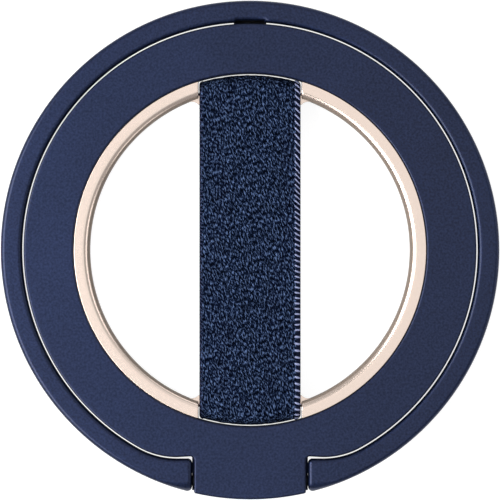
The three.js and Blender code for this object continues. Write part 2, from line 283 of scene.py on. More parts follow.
@dataclass(frozen=True)
class Plan:
    """Radii, heights and the hinge's place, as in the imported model."""

    body_radius: float = 28.95
    body_flat: float = 26.4807  # middle of the grip to the body's straight edge
    flat_half: float = 9.4  # half of that edge
    cover_inner: float = 22.67
    channel_inner: float = 23.37
    channel_outer: float = 28.15
    outer_radius: float = 32.0
    back_top: float = 1.15
    cover_bottom: float = 1.2
    channel_top: float = 3.8
    face: float = 4.8
    stand_bottom: float = 1.8
    hinge_y: float = -29.6207
    hinge_z: float = 3.3
    knuckle: float = 1.5
    slot_half: float = 6.63
    channel_start: float = 3.5  # degrees from the end of the bend to the magnets' channel

    def bend(self, offset: float) -> tuple[float, float]:
        """The bend between the body's straight edge and its circle, on the right.

        Args:
            offset: Distance outwards from the body's edge.

        Returns:
            The Y of the bend's centre, which lies at X = flat_half, and its end's angle in degrees.
        """
        radius = self.body_radius + offset
        flat = self.body_flat + offset
        corner = (radius**2 - self.flat_half**2 - flat**2) / (2 * (radius - flat))
        return corner - flat, math.degrees(math.atan2(corner - flat, self.flat_half))

    def draw_edge(self, pen: Pen, offset: float, end: float = 90.0) -> Pen:
        """Draws the body's right edge from the straight's end round to an angle on the circle."""
        centre, angle = self.bend(offset)
        pen.line(self.flat_half, -self.body_flat - offset)
        pen.arc(self.flat_half, centre, 90.0 + angle, BEND_ARC)
        return pen.arc(0.0, 0.0, end - angle)


PLAN = Plan()


def ring_plate(offset: float, inner: float, bottom: float, top: float) -> BMesh:
    """A plate with the body's outline and a round hole.

    Args:
        offset: Distance outwards from the body's edge.
        inner: The hole's radius.
        bottom: The plate's lower height.
        top: The plate's upper height.

    Returns:
        The closed plate.
    """
    pen = PLAN.draw_edge(Pen(0.0, -PLAN.body_flat - offset), offset)
    pen.line(0.0, inner).arc(0.0, 0.0, -180.0).line(0.0, -PLAN.body_flat - offset)
    return pen.plate(bottom, top)


def open_ring(inner: float, outer: float, bottom: float, top: float) -> BMesh:
    """A flat ring that is open on the hinge's side, where the magnets leave room for the body's straight edge."""
    start = PLAN.bend(0.0)[1] + PLAN.channel_start
    side = math.radians(start)
    pen = Pen(outer * math.cos(side), outer * math.sin(side)).arc(0.0, 0.0, 90.0 - start)
    pen.line(0.0, inner).arc(0.0, 0.0, start - 90.0).line(outer * math.cos(side), outer * math.sin(side))
    return pen.plate(bottom, top)


# Finishes

NOISE = {"From Min": 0.3, "From Max": 0.7}  # the range that a noise texture fills


def linear(colour: str) -> tuple[float, float, float, float]:
    """An sRGB hex colour as the linear colour that a shader takes."""
    values = [int(colour[place : place + 2], 16) / 255 for place in (1, 3, 5)]
    return (*(v / 12.92 if v <= 0.04045 else ((v + 0.055) / 1.055) ** 2.4 for v in values), 1.0)


def add(tree: NodeTree, kind: str, inputs: dict | None = None, **settings: object) -> Node:
    """Adds a node with its settings and links.

    Args:
        tree: The material's or world's node tree.
        kind: The node's type, without the ShaderNode that all their names start with.
        inputs: For each named or numbered input a value, a socket to link from, or a node to link the first socket of.
        settings: The node's own properties.

    Returns:
        The node.
    """
    made = tree.nodes.new(f"ShaderNode{kind}")
    for name, value in settings.items():
        setattr(made, name, value)
    for socket, value in (inputs or {}).items():
        source = value.outputs[0] if isinstance(value, Node) else value
        if isinstance(source, NodeSocket):
            tree.links.new(source, made.inputs[socket])
        else:
            made.inputs[socket].default_value = source
    return made


def new_material(name: str) -> tuple[Material, NodeTree]:
    """An empty node material and its tree."""
    made = bpy.data.materials.new(name)
    made.use_nodes = True
    made.node_tree.nodes.clear()
    return made, made.node_tree


def complete(tree: NodeTree, inputs: dict, height: Node, strength: float, relief: float) -> None:
    """Ends a material with its shader, the relief of a texture, in millimetres, and the output."""
    bump = add(tree, "Bump", {"Height": height, "Strength": strength, "Distance": relief * MM})
    shader = add(tree, "BsdfPrincipled", {**inputs, "Normal": bump})
    add(tree, "OutputMaterial", {"Surface": shader})


@dataclass(frozen=True)
class BlastedAluminium:
    """Aluminium, bead-blasted and then anodised: dark and even, with a fine grain and soft, wide highlights."""

    name: str = "navy_anodised_blasted_aluminium"
    colour: str = "#0f1832"
    grain_colour: str = "#253256"
    roughness: float = 0.52
    spread: float = 0.05  # how far the roughness rises and falls
    grain: float = 0.28  # real blasting is near 0.1 mm, drawn this coarse so that it shows
    strength: float = 0.12  # of the grain's relief
    relief: float = 0.02
    cloud: float = 9.0  # slow change of the dye's depth
    cloud_share: float = 0.3
    film: float = 0.45  # the clear anodic film over the dyed metal, which adds the pale glints on the edges
    film_roughness: float = 0.24

    def material(self) -> Material:
        """Builds the material."""
        made, tree = new_material(self.name)
        place = add(tree, "TexCoord").outputs["Object"]
        grain = add(tree, "TexNoise", {"Vector": place, "Scale": 1 / (self.grain * MM), "Detail": 2.0})
        cloud = add(tree, "TexNoise", {"Vector": place, "Scale": 1 / (self.cloud * MM), "Detail": 1.0})
        blend = add(tree, "MapRange", {"Value": grain, **NOISE})
        slow = add(tree, "Math", {0: cloud, 1: self.cloud_share}, operation="MULTIPLY")
        tone = add(tree, "Math", {0: blend, 1: 1 - self.cloud_share, 2: slow}, operation="MULTIPLY_ADD")
        colour = add(tree, "Mix", {0: tone, 6: linear(self.colour), 7: linear(self.grain_colour)}, data_type="RGBA")
        low, high = self.roughness - self.spread, self.roughness + self.spread
        rough = add(tree, "MapRange", {"Value": grain, **NOISE, "To Min": low, "To Max": high})
        inputs = {
            "Base Color": colour.outputs[2],
            "Metallic": 1.0,
            "Roughness": rough,
            "Coat Weight": self.film,
            "Coat Roughness": self.film_roughness,
        }
        complete(tree, inputs, grain, self.strength, self.relief)
        return made


@dataclass(frozen=True)
class VelvetPaintedLight:
    """Polyester velvet on woven elastic: short leaning tufts, with painted highlights where they catch the light and
    painted shade where they swallow it.
    """

    name: str = "navy_velvet_painted_light_and_shade"
    # deep is the tufts' painted shade, light their painted highlight, and middle the pile's navy between.
    deep: str = "#00020a"
    middle: str = "#081228"
    light: str = "#5a6f97"
    tuft_width: float = 0.17
    tuft_length: float = 0.46
    lean: float = 18.0  # degrees that the tufts lean from the strap's length
    patch: float = 1.6  # slow change of the pile's tone
    strength: float = 0.6  # of the tufts' relief
    relief: float = 0.15

    def material(self) -> Material:
        """Builds the material."""
        made, tree = new_material(self.name)
        place = add(tree, "TexCoord").outputs["Object"]
        turned = add(tree, "Mapping", {"Vector": place, "Rotation": (0.0, 0.0, math.radians(-self.lean))})
        across, along = 1 / (self.tuft_width * MM), 1 / (self.tuft_length * MM)
        stretched = add(tree, "Mapping", {"Vector": turned, "Scale": (across, along, across)})
        tufts = add(tree, "TexNoise", {"Vector": stretched, "Scale": 1.0, "Detail": 2.0})
        patches = add(tree, "TexNoise", {"Vector": place, "Scale": 1 / (self.patch * MM), "Detail": 2.0})
        # The tufts' noise mixes painted shade, the pile's navy and a painted highlight.
        low = add(tree, "MapRange", {"Value": tufts, "From Min": 0.37, "From Max": 0.52})
        high = add(tree, "MapRange", {"Value": tufts, "From Min": 0.51, "From Max": 0.73})
        body = add(tree, "Mix", {0: low, 6: linear(self.deep), 7: linear(self.middle)}, data_type="RGBA")
        lit = add(tree, "Mix", {0: high, 6: body.outputs[2], 7: linear(self.light)}, data_type="RGBA")
        depth = add(tree, "MapRange", {"Value": patches, **NOISE, "To Min": 0.8, "To Max": 1.2})
        colour = add(tree, "VectorMath", {0: lit.outputs[2], "Scale": depth}, operation="SCALE")
        inputs = {
            "Base Color": colour,
            "Roughness": 0.9,
            "Specular IOR Level": 0.03,
            "Sheen Weight": 0.02,
            "Sheen Roughness": 0.5,
            "Sheen Tint": linear("#8f9fc4"),
        }
        complete(tree, inputs, tufts, self.strength, self.relief)
        return made


@dataclass(frozen=True)
class Plain:
    """A finish with one fine grain: mouldings, threads, woven elastic, walls in painted shade, nickel plate and steel.
    """

    name: str
    colour: str
    shade: str
    roughness: float
    metallic: float
    grain: tuple[float, float, float]  # the grain's size along X, Y and Z
    relief: float
    specular: float = 0.5
    spread: float = 0.08  # how far the roughness rises and falls
    strength: float = 0.5  # of the relief

    def material(self) -> Material:
        """Builds the material."""
        made, tree = new_material(self.name)
        place = add(tree, "TexCoord").outputs["Object"]
        cells = add(tree, "Mapping", {"Vector": place, "Scale": tuple(1 / (size * MM) for size in self.grain)})
        grain = add(tree, "TexNoise", {"Vector": cells, "Scale": 1.0, "Detail": 3.0})
        colour = add(tree, "Mix", {0: grain, 6: linear(self.shade), 7: linear(self.colour)}, data_type="RGBA")
        low, high = self.roughness - self.spread, self.roughness + self.spread
        rough = add(tree, "MapRange", {"Value": grain, "To Min": low, "To Max": high})
        inputs = {
            "Base Color": colour.outputs[2],
            "Metallic": self.metallic,
            "Roughness": rough,
            "Specular IOR Level": self.specular,
        }
        complete(tree, inputs, grain, self.strength, self.relief)
        return made


@dataclass(frozen=True)
class SatinAluminium(Plain):
    """Aluminium, turned, polished to a satin and anodised champagne: pale, warm, with clear soft reflections."""

    name: str = "champagne_anodised_satin_aluminium"
    colour: str = "#fbe8dc"
    shade: str = "#f3dfd1"
    roughness: float = 0.24
    metallic: float = 1.0
    grain: tuple[float, float, float] = (0.3, 0.3, 0.3)  # drawn coarser than it is
    relief: float = 0.01
    spread: float = 0.02
    strength: float = 0.02


NAVY = BlastedAluminium().material()
CHAMPAGNE = SatinAluminium().material()
VELVET = VelvetPaintedLight().material()
# Painted shade on the navy walls in the gap and inside the cover and on the shoulders beside the lug: a dark matte
# colour with fine upright lines in place of the bright metal, because these faces stand in shade.
NAVY_WALL_PAINTED_SHADE = Plain("navy_wall_painted_shade", "#1a2136", "#10152a", 0.85, 0.0, (0.12, 0.12, 2.0), 0.01, 0.1).material()
# Painted shade on the steep faces of the hole's wall and on the bars' sides: a matte, brownish, darker champagne,
# because these faces stand in shade.
CHAMPAGNE_WALL_PAINTED_SHADE = Plain(
    "champagne_wall_painted_shade", "#8f8175", "#7a6c61", 0.6, 0.0, (0.15, 0.15, 2.0), 0.003, 0.3
).material()
# Glass-filled nylon from a fine spark-eroded mould: dark and matte, with a pebbled skin.
NYLON = Plain("black_moulded_nylon", "#1b1d26", "#12141b", 0.6, 0.0, (0.15, 0.15, 0.15), 0.01, 0.3).material()
# Pressed silicone: matte, with a faint dusty bloom.
SILICONE = Plain("dark_pressed_silicone", "#2b2e38", "#20232b", 0.75, 0.0, (0.4, 0.4, 0.4), 0.01, 0.3).material()
# Polyester overlock thread: a smooth twisted yarn, a little glossy.
THREAD = Plain("lavender_polyester_thread", "#9ba2c6", "#7d85ab", 0.5, 0.0, (0.1, 0.3, 0.1), 0.02, 0.3).material()
# The left edge's threads: a darker copy of the thread, painted shade on the strap's left edge.
THREAD_PAINTED_SHADE = Plain("left_thread_painted_shade", "#3a4263", "#1f2745", 0.6, 0.0, (0.1, 0.3, 0.1), 0.02, 0.2).material()
# Woven elastic where the velvet has no pile: a flat dark ground of tight threads.
ELASTIC = Plain("navy_woven_elastic", "#0c1328", "#050a1b", 0.9, 0.0, (0.25, 0.12, 0.25), 0.04, 0.1).material()
# Bright nickel on sintered magnets: a mirror over a slightly uneven ground.
NICKEL = Plain("bright_nickel_plate", "#c9c9c6", "#b4b5b5", 0.22, 1.0, (0.8, 0.8, 0.8), 0.01).material()
# Ground steel: fine lines across its length.
STEEL = Plain("ground_steel", "#a9adb2", "#84888e", 0.35, 1.0, (0.06, 1.5, 1.5), 0.005).material()
# Hinge steel, ground, in a dark colour with a dull shine: painted shade, so that no light shows in the slits beside the
# lug.
HINGE_STEEL_PAINTED_SHADE = Plain("hinge_steel_painted_shade", "#22242a", "#15171c", 0.5, 1.0, (0.06, 0.8, 0.8), 0.005).material()


# Sub-assemblies


@dataclass
class CoverShell:
    """The front cover with its hinge lug, the back cover with its closing stop, and the grip pad."""

    edge: float = 0.26
    lip: float = 0.1  # the shell's rim, which stands a little proud round the back cover
    lug_half: float = 7.18
    hollow: float = 0.5
    lug_corner: float = 0.3
    shoulder_half: float = 7.43  # leaves a slit to the ring's ends, too narrow to see the floor through
    shoulder_top: float = 4.0
    root_end: float = 0.7  # how far the shoulders reach into the cover
    cutter_half: float = 9.0  # wider than the shoulders
    bore: float = 1.2
    bore_end: float = 2.63
    back_bottom: float = 0.3
    back_inner: float = 20.9
    back_edge: float = 0.12
    groove_top: float = 0.6
    pad_inset: float = 0.9
    pad_top: float = 0.55
    pad_inner: float = 23.37
    pad_edge: float = 0.15
    fit: float = 0.05
    rim_width: float = 0.4
    rim_top: float = 1.95
    stop_half: float = 2.1
    stop_start: float = 29.0
    stop_end: float = 31.15
    stop_top: float = 1.75
    stop_edge: float = 0.1

    def front_cover(self) -> Object:
        """Builds the cover: a rounded plate with the lug, hollowed for the magnets and bored for the sleeves."""
        corner_x = self.lug_half - self.lug_corner
        corner_y = -math.sqrt((PLAN.outer_radius - self.lug_corner) ** 2 - corner_x**2)
        tilt = math.degrees(math.atan2(corner_y, corner_x))
        pen = Pen(0.0, -PLAN.outer_radius).arc(0.0, 0.0, 90.0 + tilt)
        pen.arc(corner_x, corner_y, -tilt, SMALL_ARC)
        pen.line(self.lug_half, -PLAN.body_flat - self.hollow)
        pen.arc(self.lug_half + self.hollow, -PLAN.body_flat - self.hollow, -90.0, SMALL_ARC)
        PLAN.draw_edge(pen, self.lip)
        pen.line(0.0, PLAN.cover_inner).arc(0.0, 0.0, -180.0).line(0.0, -PLAN.outer_radius)
        plate = pen.plate(PLAN.cover_bottom, PLAN.face)
        rounded(plate, rim_edges(plate, PLAN.face) + rim_edges(plate, PLAN.cover_bottom), self.edge)
        channel = open_ring(PLAN.channel_inner, PLAN.channel_outer, PLAN.cover_bottom - 1, PLAN.channel_top)
        rub = PLAN.knuckle - self.edge
        shoulder = hinge_rod(rub, -self.shoulder_half, self.shoulder_half)
        wide, half = self.cutter_half, self.shoulder_half
        above = block((-wide, PLAN.hinge_y - 2, self.shoulder_top), (wide, PLAN.hinge_y + 2, PLAN.face))
        inside = (half, -PLAN.body_flat + self.root_end, self.shoulder_top)
        root = block((-half, PLAN.hinge_y, PLAN.hinge_z - rub), inside)
        shoulder = combined(shoulder, [(Operation.CUT, above), (Operation.JOIN, root)])
        steps = [(Operation.CUT, channel), (Operation.JOIN, shoulder)]
        steps += bores(self.bore, self.bore_end, self.shoulder_half + 1)
        # The second finish is painted shade, on the faces that stand in shade.
        return piece(combined(plate, steps), "cover_shell", (NAVY, NAVY_WALL_PAINTED_SHADE), self.dark)

    def dark(self, face: BMFace) -> bool:
        """Whether a face of the front cover gets painted shade: a wall in the gap or inside the cover, or a shoulder
        beside the lug.
        """
        middle = face.calc_center_median()
        wall = abs(face.normal.z) < WALL and middle.xy.length < PLAN.outer_radius - 0.3
        shoulder = abs(middle.x) > self.lug_half and middle.y < -PLAN.body_flat - 0.1 and middle.z < PLAN.face - 0.3
        return wall or shoulder

    def back_cover(self) -> Object:
        """Builds the back cover: a plate with the strap's windows, the pad's groove, rims and the closing stop."""
        outer = PLAN.cover_inner
        reach = math.degrees(math.asin(PLAN.slot_half / outer))
        corner = math.sqrt(self.back_inner**2 - PLAN.slot_half**2)
        pen = PLAN.draw_edge(Pen(0.0, -PLAN.body_flat), 0.0)
        pen.line(0.0, outer).arc(0.0, 0.0, -reach).line(PLAN.slot_half, corner)
        sweep = 180.0 - 2 * math.degrees(math.asin(PLAN.slot_half / self.back_inner))
        pen.arc(0.0, 0.0, -sweep).line(PLAN.slot_half, -math.sqrt(outer**2 - PLAN.slot_half**2))
        pen.arc(0.0, 0.0, -reach).line(0.0, -PLAN.body_flat)
        plate = pen.plate(self.back_bottom, PLAN.back_top)
        rounded(plate, rim_edges(plate, self.back_bottom), self.back_edge, 3)
        groove = ring_plate(self.fit - self.pad_inset, self.pad_inner - self.fit, -1.0, self.groove_top)
        inner = PLAN.channel_inner + self.fit
        outer = PLAN.channel_outer - self.fit
        half = self.stop_half
        stop = block((-half, self.stop_start, self.groove_top), (half, self.stop_end, self.stop_top))
        rounded(stop, stop.edges[:], self.stop_edge, 2)
        root = block((-half, PLAN.body_radius - 1, self.groove_top), (half, PLAN.body_radius + 1, PLAN.back_top))
        steps = [
            (Operation.CUT, groove),
            (Operation.JOIN, open_ring(inner, inner + self.rim_width, self.groove_top, self.rim_top)),
            (Operation.JOIN, open_ring(outer - self.rim_width, outer, self.groove_top, self.rim_top)),
            (Operation.JOIN, root),
            (Operation.JOIN, stop),
        ]
        return piece(combined(plate, steps), "back_plate", (NYLON,))

    def grip_pad(self) -> Object:
        """Builds the soft pad that lies against the phone."""
        pad = ring_plate(-self.pad_inset, self.pad_inner, 0.0, self.pad_top)
        rounded(pad, rim_edges(pad, 0.0), self.pad_edge, 3)
        return piece(pad, "back_pad", (SILICONE,))

    def build(self) -> list[Object]:
        """Builds the shell and dresses the magnets and the yoke inside it."""
        made = [
            fitted(self.front_cover(), Body.GRIP, "front_cover"),
            fitted(self.back_cover(), Body.GRIP, "back_cover"),
            fitted(self.grip_pad(), Body.GRIP, "grip_pad"),
        ]
        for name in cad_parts:
            if name.startswith("magnet_"):
                dress(name, NICKEL)
        dress("steel_yoke", STEEL)
        return made


@dataclass
class TrimRing:
    """The champagne trim round the hole and the two bars behind the strap."""

    outer: float = 22.62
    hole: float = 20.58
    top: float = 4.65
    step: float = 21.54
    step_drop: float = 0.04
    wall: float = 20.9  # inside this radius the steep faces of the lip and the hole's wall get painted shade
    arris: float = 0.1  # small rounding of the trim's outer edge and of its ends
    bar_outer: float = 21.22
    bar_inner: float = 19.82
    bar_bottom: float = 2.15
    bar_top: float = 3.25
    fillet: float = 1.1
    sweep: float = 160.0  # degrees that the section is spun through, before it is cut off beside the strap
    sweep_steps: int = 108
    back_share: float = 0.45  # rounding of a bar's back, as a share of its height

    def band(self) -> BMesh:
        """Spins the trim's section and cuts it off square beside the strap."""
        lip = self.step - self.hole
        pen = Pen(self.outer, PLAN.cover_bottom).line(self.outer, self.top - self.arris)
        pen.arc(self.outer - self.arris, self.top - self.arris, 90.0, 30.0)
        pen.line(self.step, self.top).line(self.step, self.top - self.step_drop)
        pen.arc(self.step, self.top - self.step_drop - lip, 90.0, 7.5).line(self.hole, PLAN.cover_bottom)
        pen.line(self.outer, PLAN.cover_bottom)
        mesh = pen.mesh
        weld(mesh)
        rotated(mesh, 90.0, "X")
        rotated(mesh, -self.sweep / 2, "Z")
        sweep = math.radians(self.sweep)
        bmesh.ops.spin(mesh, geom=whole(mesh), cent=(0, 0, 0), axis=(0, 0, 1), angle=sweep, steps=self.sweep_steps)
        cut = {"plane_co": (PLAN.slot_half, 0, 0), "plane_no": (1, 0, 0)}
        bmesh.ops.bisect_plane(mesh, geom=whole(mesh), clear_inner=True, **cut)
        open_edges = [edge for edge in mesh.edges if edge.is_boundary]
        bmesh.ops.holes_fill(mesh, edges=open_edges, sides=0)
        turn_outwards(mesh)
        rounded(mesh, rim_edges(mesh, PLAN.slot_half, 0), self.arris, 3)
        mirror(mesh)
        return mesh

    def bar(self) -> BMesh:
        """The bar at the top, with a rounded back for the strap and hollow fillets at its ends."""
        edge = Vector((PLAN.slot_half, math.sqrt(self.bar_inner**2 - PLAN.slot_half**2)))
        centre_radius = self.hole - self.fillet
        spread = (centre_radius**2 + self.bar_inner**2 - self.fillet**2) / (2 * centre_radius * self.bar_inner)
        edge_angle = math.atan2(edge.y, edge.x)
        end = edge_angle - math.acos(spread)
        centre = Vector((math.cos(end), math.sin(end))) * centre_radius
        start = math.atan2(edge.y - centre.y, edge.x - centre.x)
        pen = Pen(0.0, self.bar_inner).arc(0.0, 0.0, math.degrees(edge_angle) - 90.0)
        pen.arc(centre.x, centre.y, math.degrees(end - start), SMALL_ARC)
        pen.line(self.bar_outer * math.cos(end), self.bar_outer * math.sin(end))
        pen.arc(0.0, 0.0, 90.0 - math.degrees(end)).line(0.0, self.bar_inner)
        mesh = pen.plate(self.bar_bottom, self.bar_top)
        back = [
            edge
            for edge in rim_edges(mesh, self.bar_bottom) + rim_edges(mesh, self.bar_top)
            if all(vert.co.xy.length > self.bar_outer - 0.1 for vert in edge.verts)
        ]
        rounded(mesh, back, (self.bar_top - self.bar_bottom) * self.back_share, 6)
        return mesh

    def build(self) -> list[Object]:
        """Builds the trim and joins the bars to it."""
        upper = self.bar()
        lower = upper.copy()
        rotated(lower, 180.0, "Z")
        mesh = combined(self.band(), [(Operation.JOIN, upper), (Operation.JOIN, lower)])
        # The hole's wall and the bars' sides get the painted shade.
        trim = piece(mesh, "champagne_trim", (CHAMPAGNE, CHAMPAGNE_WALL_PAINTED_SHADE), self.in_painted_shade, 30.0)
        return [fitted(trim, Body.GRIP, "trim_ring")]

    def in_painted_shade(self, face: BMFace) -> bool:
        """Whether a face is on the wall of the hole or on a bar's side, which get painted shade."""
        return face.calc_center_median().xy.length < self.wall and face.normal.z < 0.7


@dataclass
class FingerStrap:
    """The elastic strap: one loop of velvet-faced elastic round both bars, with overlocked long edges."""

    width: float = 13.0
    thickness: float = 1.15
    outer: float = 22.52  # the loop's ends, from the middle of the grip, over the pile
    middle: float = 2.7  # height of the loop's middle plane
    inner_half: float = 0.6
    corner: float = 0.2  # rounding of the long edges
    bend_start: float = 12.0  # beyond this distance from the middle the loop follows the round bars
    tuft: float = 0.2  # cells of the mesh on the upper layer
    coarse: float = 0.7  # cells along the lower layer
    bend_cells: int = 20  # cells round a bar
    pile: float = 0.05  # how far the pile rises and falls
    pile_width: float = 0.42
    pile_length: float = 0.75
    pile_dip: float = 0.6  # how far the pile lies under its full height, in piles
    bare_dip: float = 1.2  # the same for the bare elastic
    seam: float = 6.0  # overlap that is sewn on the lower layer
    selvedge: tuple[float, float] = (0.2, 0.62)  # bare elastic along the left and the right edge
    pitch: tuple[float, float] = (0.52, 0.79)  # edge threads on the left and on the right
    thread: tuple[float, float] = (0.07, 0.14)  # their radius
    reach: tuple[float, float] = (0.42, 0.56)  # how far they come in over the velvet
    slant: tuple[float, float] = (0.5, -0.55)
    thread_out: float = 0.02  # how far the threads stand out of the strap's side
    thread_sunk: float = 0.04  # and how deep they lie in its top
    thread_down: float = 0.35  # how far they run down the side

    @property
    def outer_half(self) -> float:
        """Half of the loop's height."""
        return self.inner_half + self.thickness

    @property
    def straight(self) -> float:
        """Half the length of one straight layer."""
        return self.outer - self.outer_half

    def section(self) -> BMesh:
        """The strap's cross-section at the middle of the upper layer, standing in the XZ plane."""
        half = self.width / 2
        top = self.middle + self.outer_half
        low = self.middle + self.inner_half
        flat = self.width - 2 * self.corner
        cells = round(flat / self.tuft)
        pen = Pen(-half + self.corner, top)
        for cell in range(1, cells + 1):
            pen.line(-half + self.corner + cell * flat / cells, top)
        pen.arc(half - self.corner, top - self.corner, -90.0, 22.5)
        pen.line(half, low + self.corner / 2).line(half - self.corner / 2, low)
        for cell in range(1, 9):
            pen.line((half - self.corner / 2) * (1 - cell / 4), low)
        pen.line(-half, low + self.corner / 2).line(-half, top - self.corner)
        pen.arc(-half + self.corner, top - self.corner, -90.0, 22.5)
        mesh = pen.mesh
        weld(mesh)
        rotated(mesh, 90.0, "X")
        return mesh

    def loop(self) -> BMesh:
        """Carries the section round the loop: along the upper layer, round a bar, back below and round the other."""
        mesh = self.section()
        straight = self.straight
        last = whole(mesh)
        upper, lower, turn = round(straight / self.tuft), round(straight / self.coarse), (0.0, self.bend_cells)
        path = [(straight, upper), turn, (-2 * straight, 2 * lower), turn, (straight, upper)]
        for bend, (run, steps) in enumerate(path):
            if run:
                move = {"cent": (0, 0, 0), "dvec": (0, run / steps, 0), "angle": 0.0}
            else:
                side = straight if bend == 1 else -straight
                move = {"cent": (0, side, self.middle), "angle": -math.pi}
            last = bmesh.ops.spin(mesh, geom=last, axis=(1, 0, 0), steps=steps, **move)["geom_last"]
        weld(mesh)
        turn_outwards(mesh)
        return mesh

    def shaped(self, point: Vector) -> Vector:
        """Moves a point of the straight loop so that the loop's ends follow the round bars."""
        reach, turn = abs(point.y), self.bend_start
        if reach > turn:
            length = math.sqrt(reach**2 - point.x**2)
        else:
            length = reach * math.sqrt(turn**2 - point.x**2) / turn
        return Vector((point.x, math.copysign(length, point.y), point.z))

    def bare(self, x: float) -> bool:
        """Whether a place across the strap is on the bare elastic beside the velvet."""
        left, right = self.selvedge
        return not left - self.width / 2 < x < self.width / 2 - right

    def place(self, travel: float) -> Matrix:
        """The place at a distance round the loop, from where its upper layer starts."""
        half, rest = divmod(travel, 2 * self.straight + math.pi * self.outer_half)
        run = min(rest, 2 * self.straight)
        turned = Matrix.Translation((0.0, 0.0, self.middle)) @ Matrix.Rotation(-math.pi * half, 4, "X")
        bend = Matrix.Rotation((run - rest) / self.outer_half, 4, "X")
        return turned @ Matrix.Translation((0.0, run - self.straight, 0.0)) @ bend

    def stitch(self, side: int) -> BMesh:
        """One edge thread: up out of the velvet, over the strap's corner and down its side.

        Args:
            side: 0 for the left edge and 1 for the right.

        Returns:
            The thread, slanted, at the start of a loop whose middle plane is at height zero.
        """
        mesh = bmesh.new()
        radius, reach = self.thread[side], self.reach[side]
        half, level = self.width / 2 - radius + self.thread_out, self.outer_half - self.thread_sunk
        start = Matrix.Translation((half - reach, 0.0, level - radius))
        last = bmesh.ops.create_circle(mesh, segments=8, radius=radius, matrix=start)["verts"] + mesh.edges[:]
        corner, entry = self.corner + radius, radius * 1.1  # the thread's two bends
        path = (
            {"cent": (half - reach + entry, 0.0, level - radius), "angle": math.pi / 2, "steps": 3},
            {"cent": (0, 0, 0), "angle": 0.0, "dvec": (reach - entry - corner, 0.0, 0.0), "steps": 1},
            {"cent": (half - corner, 0.0, level - radius + entry - corner), "angle": math.pi / 2, "steps": 4},
            {"cent": (0, 0, 0), "angle": 0.0, "dvec": (0.0, 0.0, -self.thread_down), "steps": 1},
        )
        for stroke in path:
            last = bmesh.ops.spin(mesh, geom=last, axis=(0.0, 1.0, 0.0), **stroke)["geom_last"]
        weld(mesh)
        bmesh.ops.holes_fill(mesh, edges=[edge for edge in mesh.edges if edge.is_boundary], sides=0)
        for vert in mesh.verts:
            vert.co.y += self.slant[side] * (vert.co.x - half)
        if side == 0:
            bmesh.ops.scale(mesh, verts=mesh.verts[:], vec=(-1.0, 1.0, 1.0))
        turn_outwards(mesh)
        return mesh

    def edge_threads(self) -> Object:
        """Sews the threads round both long edges of the loop."""
        mesh = bmesh.new()
        around = 2 * (2 * self.straight + math.pi * self.outer_half)
        for side in (0, 1):
            pattern = self.stitch(side)
            sample = bpy.data.meshes.new("thread")
            pattern.to_mesh(sample)
            pattern.free()
            count = round(around / self.pitch[side])
            for number in range(count):
                known = len(mesh.verts)
                mesh.from_mesh(sample)
                mesh.verts.ensure_lookup_table()
                place = self.place(number * around / count)
                bmesh.ops.transform(mesh, matrix=place, verts=mesh.verts[known:])
            bpy.data.meshes.remove(sample)
        for vert in mesh.verts:
            vert.co = self.shaped(vert.co)
        # The left edge's threads get the darker copy: painted shade.
        threads = piece(mesh, "strap_edge_threads", (THREAD, THREAD_PAINTED_SHADE), lambda face: face.verts[0].co.x < 0, 80.0)
        return fitted(threads, Body.GRIP)

    def build(self) -> list[Object]:
        """Builds the strap, raises its pile and adds the edge threads."""
        mesh = self.loop()
        mesh.normal_update()
        rises = {}
        for vert in mesh.verts:
            away = abs(vert.co.z - self.middle)
            if away > self.inner_half + self.thickness / 2 or abs(vert.co.y) > self.outer - 0.5:
                x, y, z = vert.co
                spot = Vector((x / self.pile_width, y / self.pile_length, z / self.pile_width))
                lift = -self.bare_dip if self.bare(x) else noise.noise(spot) - self.pile_dip
                rises[vert] = vert.normal * (self.pile * lift)
        for vert, rise in rises.items():
            vert.co += rise
        for vert in mesh.verts:
            vert.co = self.shaped(vert.co)
        strap = piece(
            mesh, "velvet_strap", (VELVET, ELASTIC), lambda face: self.bare(face.calc_center_median().x), 80.0
        )
        fitted(strap, Body.GRIP, "finger_strap")
        threads = self.edge_threads()
        return [strap, threads]


